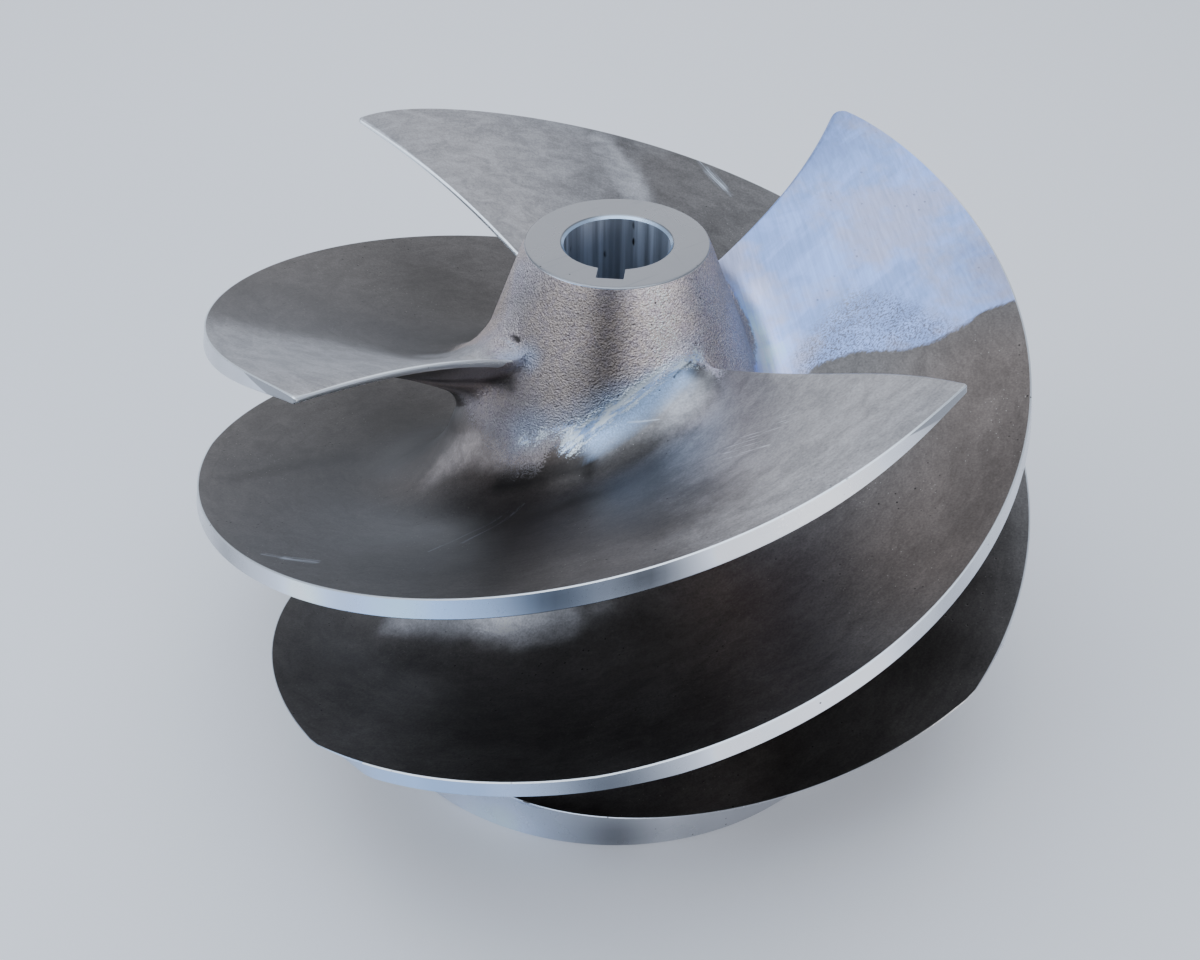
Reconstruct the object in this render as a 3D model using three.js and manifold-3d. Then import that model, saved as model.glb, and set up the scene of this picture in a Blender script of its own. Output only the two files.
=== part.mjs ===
// Mixed-flow pump impeller: one stainless casting with a cone hub, a keyed bore and four helical
// blades, turned on a lathe at its outer edge, its outlet edge and its base.
// Millimetres, +Z up along the bore axis, origin at the middle of the base.
import * as THREE from "three";
import { mergeVertices } from "three/addons/utils/BufferGeometryUtils.js";
import Module from "manifold-3d";

// Hub
const HUB_HEIGHT = 132;
const HUB_TOP_RADIUS = 22;
const HUB_TAPER = 0.39;
const TOP_CHAMFER = 0.6;
const RIM_RADIUS = 74;
const RIM_HEIGHT = 13.2;
const RIM_CHAMFER = 0.8;
const FLARE_START = 32;
const FLARE_HANDLE = 11;

// Bore and keyway
const BORE_RADIUS = 12.7;
const BORE_CHAMFER = 0.7;
const KEY_WIDTH = 6.35;
const KEY_DEPTH = 5;
const KEY_AZIMUTH = -96;

// Cored recess under the hub, with the bore's boss standing in it
const RECESS_MOUTH_RADIUS = 63;
const RECESS_TOP_RADIUS = 36;
const RECESS_DEPTH = 74;
const RECESS_LIP_WIDTH = 1.2;
const RECESS_LIP_HEIGHT = 3;
const BOSS_RADIUS = 23;
const BOSS_SETBACK = 4;
const CORE_FILLET = 6;

// Blades
const BLADE_COUNT = 4;
const TIP_AZIMUTH = -42.5;
const TIP_RADIUS = 94.1;
const TIP_HEIGHT = 135.1;
const TIP_DROOP = 3.8;
const TIP_DROOP_DEGREES = 8;
const EDGE_DROP = 0.502;
const EDGE_THICKNESS = 3.9;
const ROOT_THICKNESS = 6.5;
const NOSE_THICKNESS = 1.4;
const NOSE_DEGREES = 26;
const ROOT_LAG = 4.1;
const ROOT_HEIGHT = 111.2;
const ROOT_DROP = 0.392;
const LAG_RADIUS = 31;
const WRAP_END = 254;
const UPPER_FILLET = 16;
const LOWER_FILLET = 9;
const NOSE_FILLET = 3;
const FILLET_DEGREES = 20;
const FILLET_MOST = 0.8;
const FILLET_PULL = 0.12;

// Turned envelope of the blades: inlet cone, short cylinder, outlet cone
const CORNER_RADIUS = 108.3;
const CORNER_HEIGHT = 50;
const CORNER_WRAP = 178;
const SHOULDER_HEIGHT = 68.5;
const OUTLET_INSET = 0.5;

// Fineness of the facets
const ROUND_STEPS = 64;
const WRAP_STEP = 10;
const FILLET_STEPS = 4;
const RADIAL_STEPS = 3;
const SINK = 2.5;
const ROOT_BITE = 0.5;
const BURIED = 20;
const END_WIDTH = 2;
const MERGE = 1e-4;
const WELD = 0.004;
const HALVINGS = 30;
const LONGEST = 150;

const wasm = await Module();
wasm.setup();

const radians = THREE.MathUtils.degToRad;
const lerp = THREE.MathUtils.lerp;

// Solids for joining and cutting

function toSolid(geometry) {
  const bare = geometry.clone();
  bare.deleteAttribute("normal");
  bare.deleteAttribute("uv");
  const merged = mergeVertices(bare, MERGE);
  return new wasm.Manifold(
    new wasm.Mesh({
      numProp: 3,
      vertProperties: new Float32Array(merged.attributes.position.array),
      triVerts: new Uint32Array(merged.index.array),
    }),
  );
}

function withoutSlivers(geometry) {
  const corners = geometry.index.array;
  const kept = [];
  for (let i = 0; i < corners.length; i += 3) {
    const [a, b, c] = corners.slice(i, i + 3);
    if (a !== b && b !== c && c !== a) {
      kept.push(a, b, c);
    }
  }
  geometry.setIndex(kept);
  geometry.computeVertexNormals();
  return geometry;
}

function toGeometry(solid) {
  const mesh = solid.getMesh();
  const geometry = new THREE.BufferGeometry();
  geometry.setAttribute("position", new THREE.BufferAttribute(mesh.vertProperties, 3));
  geometry.setIndex(new THREE.BufferAttribute(mesh.triVerts, 1));
  return withoutSlivers(mergeVertices(geometry, WELD));
}

// Hub shape

function coneRadius(z) {
  return HUB_TOP_RADIUS + HUB_TAPER * (HUB_HEIGHT - z);
}

const flare = new THREE.QuadraticBezierCurve(
  new THREE.Vector2(coneRadius(FLARE_START), FLARE_START),
  new THREE.Vector2(coneRadius(FLARE_START - FLARE_HANDLE), FLARE_START - FLARE_HANDLE),
  new THREE.Vector2(RIM_RADIUS, RIM_HEIGHT),
);

function cornerArc(center, radius, fromDegrees, toDegrees, steps = 3) {
  const points = [];
  for (let i = 0; i <= steps; i += 1) {
    const angle = radians(lerp(fromDegrees, toDegrees, i / steps));
    points.push(
      new THREE.Vector2(center.x + radius * Math.cos(angle), center.y + radius * Math.sin(angle)),
    );
  }
  return points;
}

function hubGeometry() {
  const p = (r, z) => new THREE.Vector2(r, z);
  const boss = BOSS_SETBACK;
  const profile = [
    p(BORE_RADIUS + BORE_CHAMFER, boss),
    p(BOSS_RADIUS - TOP_CHAMFER, boss),
    p(BOSS_RADIUS, boss + TOP_CHAMFER),
    ...cornerArc(p(BOSS_RADIUS + CORE_FILLET, RECESS_DEPTH - CORE_FILLET), CORE_FILLET, 180, 90),
    ...cornerArc(p(RECESS_TOP_RADIUS - CORE_FILLET, RECESS_DEPTH - CORE_FILLET), CORE_FILLET, 90, 20),
    p(RECESS_MOUTH_RADIUS - RECESS_LIP_WIDTH, RECESS_LIP_HEIGHT),
    p(RECESS_MOUTH_RADIUS, 0),
    p(RIM_RADIUS - RIM_CHAMFER, 0),
    p(RIM_RADIUS, RIM_CHAMFER),
    ...flare.getPoints(4).reverse(),
    p(coneRadius(HUB_HEIGHT - TOP_CHAMFER), HUB_HEIGHT - TOP_CHAMFER),
    p(HUB_TOP_RADIUS - TOP_CHAMFER, HUB_HEIGHT),
    p(BORE_RADIUS + BORE_CHAMFER, HUB_HEIGHT),
    p(BORE_RADIUS, HUB_HEIGHT - BORE_CHAMFER),
    p(BORE_RADIUS, boss + BORE_CHAMFER),
  ];
  profile.push(profile[0].clone());
  const geometry = new THREE.LatheGeometry(profile, ROUND_STEPS);
  return geometry.rotateX(Math.PI / 2);
}

function keywayGeometry() {
  const reach = BORE_RADIUS + KEY_DEPTH;
  const geometry = new THREE.BoxGeometry(reach, KEY_WIDTH, HUB_HEIGHT * 2);
  return geometry.translate(reach / 2, 0, 0).rotateZ(radians(KEY_AZIMUTH));
}

// Blade shape: every section is a chain of points in the plane through the axis at one wrap angle.
// The wrap angle runs clockwise, seen from above, from the leading tip.

function envelopeRadius(z) {
  if (z >= SHOULDER_HEIGHT) {
    const slope = (CORNER_RADIUS - TIP_RADIUS) / (TIP_HEIGHT - SHOULDER_HEIGHT);
    return CORNER_RADIUS - slope * (z - SHOULDER_HEIGHT);
  }
  if (z >= CORNER_HEIGHT) {
    return CORNER_RADIUS;
  }
  const innerRadius = RIM_RADIUS - OUTLET_INSET;
  const outlet = (CORNER_RADIUS - innerRadius) / (CORNER_HEIGHT - RIM_HEIGHT);
  return innerRadius + outlet * (z - RIM_HEIGHT);
}

function hubRadius(z) {
  if (z >= FLARE_START) {
    return coneRadius(z);
  }
  let low = 0;
  let high = 1;
  for (let i = 0; i < HALVINGS; i += 1) {
    const middle = (low + high) / 2;
    if (flare.getPoint(middle).y > z) {
      low = middle;
    } else {
      high = middle;
    }
  }
  return z > RIM_HEIGHT ? flare.getPoint(low).x : RIM_RADIUS;
}

function edgeHeight(wrap) {
  const turned = Math.min(wrap, CORNER_WRAP);
  const straight = TIP_HEIGHT + TIP_DROOP - EDGE_DROP * turned - ROOT_DROP * (wrap - turned);
  return straight - TIP_DROOP * Math.exp(-wrap / TIP_DROOP_DEGREES);
}

function rootHeight(wrap) {
  return ROOT_HEIGHT - ROOT_DROP * wrap;
}

// Grows from 0 at the nose to 1, quickly at first
function grownBy(wrap, degrees) {
  return Math.sin((Math.min(wrap / degrees, 1) * Math.PI) / 2);
}

// How far the nose line trails behind the tip, in degrees: all of it inside, none at the tip
function noseLag(r) {
  const outward = THREE.MathUtils.clamp((r - LAG_RADIUS) / (TIP_RADIUS - LAG_RADIUS), 0, 1);
  return ROOT_LAG * Math.cos((outward * Math.PI) / 2);
}

// Where a straight line from inside the hub crosses the turned envelope
function outerPoint(start, direction) {
  let low = 0;
  let high = LONGEST;
  for (let i = 0; i < HALVINGS; i += 1) {
    const middle = (low + high) / 2;
    if (start.x + direction.x * middle < envelopeRadius(start.y + direction.y * middle)) {
      low = middle;
    } else {
      high = middle;
    }
  }
  return start.clone().addScaledVector(direction, low);
}

// One side of a section: sunk point in the hub, fillet up or down the hub, straight run to the edge
function sectionSide(hubPoint, slope, side, wrap) {
  const outward = new THREE.Vector2(Math.cos(slope), Math.sin(slope));
  const turned = outerPoint(hubPoint.clone().addScaledVector(outward, -BURIED), outward);
  const proud = Math.max(turned.sub(hubPoint).dot(outward), -END_WIDTH);
  const edge = hubPoint.clone().addScaledVector(outward, proud);
  const width = Math.max(proud, END_WIDTH);
  const root = edge.clone().addScaledVector(outward, -width);
  const along = new THREE.Vector2(-HUB_TAPER, 1).normalize().multiplyScalar(side);
  const fullFillet = side > 0 ? UPPER_FILLET : LOWER_FILLET;
  const radius = lerp(NOSE_FILLET, fullFillet, grownBy(wrap, FILLET_DEGREES));
  const opening = Math.acos(THREE.MathUtils.clamp(outward.dot(along), -1, 1));
  const tangent = Math.min(radius / Math.tan(opening / 2), width * FILLET_MOST);
  const onHub = root.clone().addScaledVector(along, tangent);
  onHub.x -= ROOT_BITE;
  const onBlade = root.clone().addScaledVector(outward, tangent);
  const bend = new THREE.QuadraticBezierCurve(onHub, root.clone().lerp(onBlade, FILLET_PULL), onBlade);
  const points = [new THREE.Vector2(onHub.x - SINK, onHub.y)];
  points.push(...bend.getPoints(FILLET_STEPS));
  for (let i = 1; i <= RADIAL_STEPS; i += 1) {
    points.push(onBlade.clone().lerp(edge, i / RADIAL_STEPS));
  }
  return points;
}

function bladeSection(wrap) {
  const z = rootHeight(wrap);
  const root = new THREE.Vector2(hubRadius(z), z);
  const edgeZ = edgeHeight(wrap);
  const reach = wrap > CORNER_WRAP ? CORNER_RADIUS : envelopeRadius(edgeZ);
  const run = reach - root.x;
  const slope = Math.atan2(edgeZ - z, run);
  const grown = grownBy(wrap, NOSE_DEGREES);
  const rootDrop = lerp(NOSE_THICKNESS, ROOT_THICKNESS, grown) / Math.cos(slope);
  const edgeDrop = lerp(NOSE_THICKNESS, EDGE_THICKNESS, grown) / Math.cos(slope);
  const lowerRoot = new THREE.Vector2(hubRadius(z - rootDrop), z - rootDrop);
  const lowerSlope = Math.atan2(edgeZ - edgeDrop - lowerRoot.y, run);
  const upper = sectionSide(root, slope, 1, wrap);
  const lower = sectionSide(lowerRoot, lowerSlope, -1, wrap);
  return [...upper, ...lower.reverse()];
}

function wrapStations() {
  const stations = [0, 1.5, 4, 8, 14];
  for (let wrap = stations.at(-1) + WRAP_STEP; wrap < WRAP_END; wrap += WRAP_STEP) {
    stations.push(wrap);
  }
  stations.push(WRAP_END);
  const nearest = stations.reduce((best, wrap, i) =>
    Math.abs(wrap - CORNER_WRAP) < Math.abs(stations[best] - CORNER_WRAP) ? i : best, 0);
  stations[nearest] = CORNER_WRAP;
  return stations;
}

function bladeGeometry() {
  const positions = [];
  const index = [];
  const stations = wrapStations();
  let count = 0;
  for (const station of stations) {
    const section = bladeSection(station);
    count = section.length;
    section.forEach((point) => {
      const lag = noseLag(point.x) * (1 - station / WRAP_END);
      const angle = -radians(station + lag);
      positions.push(point.x * Math.cos(angle), point.x * Math.sin(angle), point.y);
    });
  }
  const at = (row, column) => row * count + (column % count);
  for (let row = 0; row < stations.length - 1; row += 1) {
    for (let column = 0; column < count; column += 1) {
      const a = at(row, column);
      const b = at(row, column + 1);
      const c = at(row + 1, column + 1);
      const d = at(row + 1, column);
      index.push(a, c, b, a, d, c);
    }
  }
  const half = count / 2;
  for (const row of [0, stations.length - 1]) {
    for (let i = 0; i < half - 1; i += 1) {
      const a = at(row, i);
      const b = at(row, i + 1);
      const c = at(row, count - 2 - i);
      const d = at(row, count - 1 - i);
      const quad = row === 0 ? [a, b, c, a, c, d] : [a, c, b, a, d, c];
      index.push(...quad);
    }
  }
  const geometry = new THREE.BufferGeometry();
  geometry.setAttribute("position", new THREE.Float32BufferAttribute(positions, 3));
  geometry.setIndex(index);
  return geometry;
}

function castingGeometry() {
  let solid = toSolid(hubGeometry());
  for (let i = 0; i < BLADE_COUNT; i += 1) {
    const turn = TIP_AZIMUTH - (i * 360) / BLADE_COUNT;
    solid = solid.add(toSolid(bladeGeometry().rotateZ(radians(turn))));
  }
  solid = solid.subtract(toSolid(keywayGeometry()));
  return toGeometry(solid);
}

const stainless = new THREE.MeshStandardMaterial({
  name: "cast_stainless_steel",
  color: 0x8e9198,
  roughness: 0.38,
  metalness: 0.95,
});

const casting = new THREE.Mesh(castingGeometry(), stainless);
casting.name = "impeller_casting";

const impeller = new THREE.Group();
impeller.name = "impeller";
impeller.add(casting);

export default impeller;
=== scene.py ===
"""Mixed-flow pump impeller: the finished casting and its studio, laid out as an add-on."""

import math
from collections import namedtuple

import bpy
import numpy as np
from bpy.props import FloatProperty, FloatVectorProperty, IntProperty, PointerProperty
from bpy.types import Operator, Panel, PropertyGroup
from mathutils import Matrix, Vector


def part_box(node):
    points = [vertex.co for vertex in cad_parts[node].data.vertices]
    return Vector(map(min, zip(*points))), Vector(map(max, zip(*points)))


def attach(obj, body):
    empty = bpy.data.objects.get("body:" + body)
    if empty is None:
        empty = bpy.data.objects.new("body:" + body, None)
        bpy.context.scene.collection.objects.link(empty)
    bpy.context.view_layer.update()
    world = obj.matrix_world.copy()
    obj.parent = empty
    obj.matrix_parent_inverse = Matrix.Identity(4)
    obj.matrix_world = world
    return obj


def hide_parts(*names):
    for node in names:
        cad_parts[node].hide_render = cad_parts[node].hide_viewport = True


bl_info = {
    "name": "Pump Impeller",
    "version": (1, 0, 0),
    "blender": (4, 5, 0),
    "location": "3D View > Sidebar > Impeller",
    "description": "Models a cast mixed-flow pump impeller with turned edges, and its studio",
    "category": "Object",
}

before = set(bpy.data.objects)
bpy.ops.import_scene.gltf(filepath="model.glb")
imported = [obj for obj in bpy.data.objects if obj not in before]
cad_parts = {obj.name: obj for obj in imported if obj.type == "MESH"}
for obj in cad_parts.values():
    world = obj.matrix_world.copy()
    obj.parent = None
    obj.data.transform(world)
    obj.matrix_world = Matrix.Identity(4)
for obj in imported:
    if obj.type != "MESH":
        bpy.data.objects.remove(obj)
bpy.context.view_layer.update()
CASTING = "impeller_casting"
CASTING_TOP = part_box(CASTING)[1]
MM = 0.001
PIECE = "impeller"

# Narrow turned land at the foot of the recess, and its height
LAND = 1.2 * MM
LAND_HEIGHT = 3 * MM
# Length of the broach, as a share of the hub's height, and the keyway's corners
BROACH_LENGTH = 1.2
KEY_CORNER = 0.25 * MM
# How fine the visible surface is, and the steepest edge that is shaded smooth
HUB_STEPS = 288
EDGE_STEPS = 3
CORNER_STEPS = 6
BOSS_STEPS = 12
RECESS_STEPS = 14
FLARE_STEPS = 16
CONE_STEPS = 40
WRAP_STEP = 1.5
NOSE_STEPS = (0, 0.1, 0.25, 0.45, 0.7, 1.0, 1.5, 2.25)
FILLET_STEPS = 9
RUN_STEPS = 15
HALVINGS = 24
SHARPEST = math.radians(28)


def length(name, value, description):
    """A length in millimetres, stored in metres."""
    return FloatProperty(name=name, description=description, default=value * MM, unit="LENGTH")


def turn(name, value, description):
    """An angle in degrees, stored in radians."""
    value = math.radians(value)
    return FloatProperty(name=name, description=description, default=value, unit="ROTATION")


def number(name, value, description):
    return FloatProperty(name=name, description=description, default=value, precision=4)


def colour(name, value, description):
    kind = {"subtype": "COLOR", "size": 3, "min": 0, "max": 1}
    return FloatVectorProperty(name=name, description=description, default=value, **kind)


class HubSizes(PropertyGroup):
    height: length("Height", 132, "From the base to the turned top face")
    top_radius: length("Top radius", 22, "Outer radius of the turned top face")
    taper: number("Taper", 0.39, "Growth of the radius for each unit downwards")
    edge: length("Edge", 0.5, "Broken edge of the top face")
    rim_radius: length("Rim radius", 74, "Radius of the turned base rim")
    rim_height: length("Rim height", 13.2, "Height of the turned base rim")
    rim_edge: length("Rim edge", 0.7, "Broken edge of the base rim")
    flare_start: length("Flare start", 32, "Height where the cone starts to flare out")
    flare_handle: length("Flare handle", 11, "How far down the cone the flare keeps its direction")
    bore_radius: length("Bore radius", 12.7, "Radius of the plain bore")
    bore_edge: length("Bore edge", 0.8, "Broken edge of the bore")
    key_width: length("Key width", 6.35, "Width of the keyway")
    key_depth: length("Key depth", 5, "Depth of the keyway beyond the bore's wall")
    key_azimuth: turn("Key azimuth", -96, "Direction of the keyway")
    recess_mouth: length("Recess mouth", 63, "Radius of the cored recess at the base")
    recess_top: length("Recess top", 36, "Radius of the cored recess at its top")
    recess_depth: length("Recess depth", 74, "Depth of the cored recess")
    boss_radius: length("Boss radius", 23, "Radius of the boss in the recess")
    boss_setback: length("Boss setback", 4, "How far the boss ends above the base")
    core_fillet: length("Core fillet", 6, "Round corner at the top of the recess")


class BladeSizes(PropertyGroup):
    count: IntProperty(name="Count", description="Number of blades", default=4, min=1)
    tip_azimuth: turn("Tip azimuth", -42.5, "Direction of the first blade's leading tip")
    tip_radius: length("Tip radius", 94.1, "Radius of the leading tip")
    tip_height: length("Tip height", 135.05, "Height of the leading tip")
    tip_droop: length("Tip droop", 3.8, "How far the edge falls at once behind the tip")
    droop_degrees: number("Droop degrees", 8, "How quickly the tip's droop ends")
    edge_drop: number("Edge drop", 0.502, "Fall of the outer edge, millimetres for each degree")
    edge_thickness: length("Edge thickness", 3.9, "Thickness at the outer edge")
    root_thickness: length("Root thickness", 6.5, "Thickness at the hub")
    nose_thickness: length("Nose thickness", 1.4, "Thickness just behind the leading edge")
    nose_degrees: number("Nose degrees", 26, "Wrap over which the edge's thickness grows")
    root_degrees: number("Root degrees", 60, "Wrap over which the root's thickness grows")
    nose_round: number("Nose round", 0.7, "Wrap over which the leading edge is rounded")
    root_lag: number("Root lag", 4.1, "Degrees by which the leading edge trails at the root")
    lag_radius: length("Lag radius", 31, "Radius where the leading edge starts to sweep forward")
    root_height: length("Root height", 111.2, "Height of the leading edge at the hub")
    root_drop: number("Root drop", 0.392, "Fall of the root, millimetres for each degree")
    arch_degrees: number("Arch degrees", 70, "Wrap over which the inlet end's arch fades")
    wrap_end: number("Wrap end", 254, "Wrap of each blade in degrees")
    far_fillet: length("Far fillet", 25, "Upper fillet far behind the leading edge")
    far_wrap: number("Far wrap", 55, "Wrap where the upper fillet starts to grow further")
    upper_growth: number("Upper growth", 20, "Wrap over which the upper fillet grows")
    lower_growth: number("Lower growth", 50, "Wrap over which the lower fillet grows")
    corner_radius: FloatProperty(
        name="Corner radius",
        description="Largest radius of the turned edges",
        default=min(CASTING_TOP.x, CASTING_TOP.y) - 0.05 * MM,
        unit="LENGTH",
    )
    corner_height: length("Corner height", 50, "Height where the outlet edge starts")
    corner_wrap: number("Corner wrap", 178, "Wrap where the outlet edge starts")
    shoulder_height: length("Shoulder height", 68.5, "Height where the inlet cone starts")
    outlet_inset: length("Outlet inset", 0.5, "How far inside the rim the outlet cone ends")
    # The broken edge is modelled; the bright line along it is a painted highlight, set by RIM_LINE
    broken_edge: length("Broken edge", 0.32, "Width of the burnished line along the turned edges")


class FinishColours(PropertyGroup):
    turned: colour("Turned", (0.70, 0.72, 0.77), "Freshly turned edges and faces")
    bore: colour("Bore", (0.66, 0.74, 0.88), "Wall of the bore and of the keyway")
    cast: colour("Cast", (0.64, 0.57, 0.535), "Sand-cast skin")
    satin: colour("Satin", (0.134, 0.126, 0.124), "Dull satin of the blade faces")
    dressed: colour("Dressed", (0.39, 0.387, 0.405), "Satin of the dressed inlet ends")
    # The bright patches' strong blue is partly a painted reflection over the ground metal
    bright: colour("Bright", (0.30, 0.425, 0.80), "Freshly ground patches")
    grime: colour("Grime", (0.03, 0.027, 0.025), "Dark specks in pores")
    dust: colour("Dust", (0.55, 0.53, 0.50), "Pale dust in the passages")


class StudioSettings(PropertyGroup):
    floor: colour("Floor", (0.93, 0.945, 0.985), "Plain floor")
    sky: colour("Sky", (0.80, 0.87, 1.0), "Soft light from all round")
    sky_strength: number("Sky strength", 0.56, "Strength of the light from all round")
    top_light: number("Top light", 2.0, "Radiance of the overhead light")
    back_light: number("Back light", 0.9, "Radiance of the light behind the impeller")
    left_light: number("Left light", 2.4, "Radiance of the light on the left")
    right_light: number("Right light", 7.0, "Radiance of the light on the right")
    lens: FloatProperty(
        name="Lens",
        description="Focal length",
        default=41.1045,
        unit="CAMERA",
        subtype="DISTANCE_CAMERA",
    )
    camera_place: FloatVectorProperty(
        name="Camera place",
        description="Where the camera stands",
        default=(-3.996 * MM, -288.878 * MM, 288.641 * MM),
        unit="LENGTH",
    )
    camera_tilt: turn("Camera tilt", 38.367, "How far the camera looks down")
    camera_yaw: turn("Camera yaw", -0.03, "How far the camera turns left")
    camera_roll: turn("Camera roll", 0.21, "How far the camera leans")


def sizes():
    scene = bpy.context.scene
    return scene.impeller_hub, scene.impeller_blade


# Modelling by operators


def deselect_all():
    if bpy.context.object and bpy.context.object.mode != "OBJECT":
        bpy.ops.object.mode_set(mode="OBJECT")
    bpy.ops.object.select_all(action="DESELECT")


def make_active(piece):
    deselect_all()
    bpy.context.view_layer.objects.active = piece
    piece.select_set(True)


def edit_all(piece, *steps):
    """Runs edit mode's operators on the whole of a piece."""
    make_active(piece)
    bpy.ops.object.mode_set(mode="EDIT")
    bpy.ops.mesh.select_all(action="SELECT")
    for operator, settings in steps:
        operator(**settings)
    bpy.ops.object.mode_set(mode="OBJECT")


def apply_boolean(piece, tool, operation):
    """Joins or cuts the piece with the tool, which is then removed."""
    make_active(piece)
    modifier = piece.modifiers.new(operation.title(), "BOOLEAN")
    modifier.operation = operation
    modifier.solver = "MANIFOLD"
    modifier.object = tool
    bpy.ops.object.modifier_apply(modifier=modifier.name)
    bpy.data.objects.remove(tool)


def rows(items, key):
    """One vector of each of a mesh's vertices or faces, a row each."""
    values = np.empty(len(items) * 3)
    items.foreach_get(key, values)
    return values.reshape(-1, 3)


# Hub


def cone_radius(hub, z):
    return hub.top_radius + hub.taper * (hub.height - z)


def flare_point(hub, share):
    """A point of the flare, from the cone at 0 to the top of the rim at 1."""
    start = Vector((cone_radius(hub, hub.flare_start), hub.flare_start))
    turn_height = hub.flare_start - hub.flare_handle
    middle = Vector((cone_radius(hub, turn_height), turn_height))
    end = Vector((hub.rim_radius, hub.rim_height))
    return start.lerp(middle, share).lerp(middle.lerp(end, share), share)


def arc(center, radius, start, end, steps):
    points = []
    for i in range(steps + 1):
        angle = math.radians(start + (end - start) * i / steps)
        points.append((center[0] + radius * math.cos(angle), center[1] + radius * math.sin(angle)))
    return points


def straight(start, end, steps):
    """Points from start towards end, without end itself."""
    return [tuple(a + (b - a) * i / steps for a, b in zip(start, end)) for i in range(steps)]


def hub_profile(hub):
    """Radius and height along the hub's closed section, from the boss's bore edge outwards."""
    boss, edge, fillet = hub.boss_setback, hub.edge, hub.core_fillet
    top = hub.recess_depth - fillet
    bore_edge = hub.bore_radius + hub.bore_edge
    cone_end = (cone_radius(hub, hub.height - edge), hub.height - edge)
    flare = [tuple(flare_point(hub, share)) for share in np.linspace(1, 0, FLARE_STEPS + 1)]
    profile = [(bore_edge, boss), (hub.boss_radius - edge, boss)]
    profile += straight((hub.boss_radius, boss + edge), (hub.boss_radius, top), BOSS_STEPS)
    profile += arc((hub.boss_radius + fillet, top), fillet, 180, 90, CORNER_STEPS)
    profile += arc((hub.recess_top - fillet, top), fillet, 90, 20, CORNER_STEPS)
    land = (hub.recess_mouth - LAND, LAND_HEIGHT)
    profile += straight(profile[-1], land, RECESS_STEPS)[1:]
    profile += [land, (hub.recess_mouth, 0)]
    rim_corner = (hub.rim_radius - hub.rim_edge, hub.rim_edge)
    profile += arc(rim_corner, hub.rim_edge, -90, 0, EDGE_STEPS)
    profile += straight((hub.rim_radius, LAND_HEIGHT), flare[0], EDGE_STEPS)
    profile += flare[:-1]
    profile += straight(flare[-1], cone_end, CONE_STEPS)
    profile += arc((hub.top_radius - edge, hub.height - edge), edge, 20, 90, EDGE_STEPS)
    top_face = (hub.top_radius - 2 * edge, hub.height)
    profile += straight(top_face, (bore_edge, hub.height), EDGE_STEPS)
    profile += [(bore_edge, hub.height), (hub.bore_radius, hub.height - hub.bore_edge)]
    bore_end = (hub.bore_radius, boss + hub.bore_edge)
    profile += straight((hub.bore_radius, hub.height - 3 * MM), bore_end, CORNER_STEPS)
    return [*profile, bore_end]


def turn_profile(name, profile, steps):
    """Extrudes a ring along the profile and bridges its last edge to its first."""
    deselect_all()
    radius, z = profile[0]
    bpy.ops.mesh.primitive_circle_add(vertices=steps, radius=radius, location=(0, 0, z))
    piece = bpy.context.object
    piece.name = name
    bpy.ops.object.transform_apply(location=True, rotation=True, scale=True)
    bpy.ops.object.mode_set(mode="EDIT")
    bpy.ops.mesh.select_all(action="SELECT")
    for next_radius, next_z in profile[1:]:
        bpy.ops.mesh.extrude_edges_move(TRANSFORM_OT_translate={"value": (0, 0, next_z - z)})
        ratio = next_radius / radius
        bpy.ops.transform.resize(value=(ratio, ratio, 1), center_override=(0, 0, next_z))
        radius, z = next_radius, next_z
    bpy.ops.mesh.select_all(action="DESELECT")
    bpy.ops.mesh.select_mode(type="EDGE")
    bpy.ops.mesh.select_non_manifold(extend=False)
    bpy.ops.mesh.bridge_edge_loops()
    bpy.ops.object.mode_set(mode="OBJECT")
    edit_all(piece, (bpy.ops.mesh.normals_make_consistent, {"inside": False}))
    return piece


def make_hub():
    hub, _ = sizes()
    return turn_profile(PIECE, hub_profile(hub), HUB_STEPS)


def cut_keyway(piece):
    """Broaches the keyway through the hub and its boss."""
    hub, _ = sizes()
    reach = hub.bore_radius + hub.key_depth
    deselect_all()
    bpy.ops.mesh.primitive_cube_add(size=1, location=(reach / 2, 0, hub.height / 2))
    broach = bpy.context.object
    broach.scale = (reach, hub.key_width, hub.height * BROACH_LENGTH)
    bpy.ops.object.transform_apply(location=True, rotation=True, scale=True)
    broach.rotation_euler = (0, 0, hub.key_azimuth)
    bpy.ops.object.transform_apply(location=True, rotation=True, scale=True)
    bpy.ops.object.modifier_add(type="BEVEL")
    bevel = broach.modifiers[-1]
    bevel.width = KEY_CORNER
    bevel.segments = 2
    bpy.ops.object.modifier_apply(modifier=bevel.name)
    apply_boolean(piece, broach, "DIFFERENCE")


# Blades: each section lies in the plane through the axis at one wrap angle, which runs
# clockwise, seen from above, from the leading tip.

# Farther than any section reaches
REACH = 0.15
# The least that a section stands proud of the hub, how far its fillet's foot is sunk in the
# hub, how much deeper the blade is rooted in it, and, in millimetres, how deep its line starts
LEAST_WIDTH = 2 * MM
SUNK = 0.3 * MM
ROOTED = 2.5 * MM
LINE_START = 20
# The most of a section's width that its fillet and the burnished line take up, and how far the
# fillet's curve stays out of the corner
FILLET_SHARE = 0.8
LINE_SHARE = 0.1
FILLET_PULL = 0.12
# The least that the nose keeps of its thickness, squared, and the points across the turned edge
BLUNTNESS = 0.04
EDGE_POINTS = (0.35, 0.65)


def envelope_radius(hub, blade, z):
    """Radius of the turned outer shape: inlet cone, short cylinder, outlet cone."""
    if z >= blade.shoulder_height:
        slope = (blade.corner_radius - blade.tip_radius) / (blade.tip_height - blade.shoulder_height)
        return blade.corner_radius - slope * (z - blade.shoulder_height)
    if z >= blade.corner_height:
        return blade.corner_radius
    inner = hub.rim_radius - blade.outlet_inset
    slope = (blade.corner_radius - inner) / (blade.corner_height - hub.rim_height)
    return inner + slope * (z - hub.rim_height)


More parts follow.
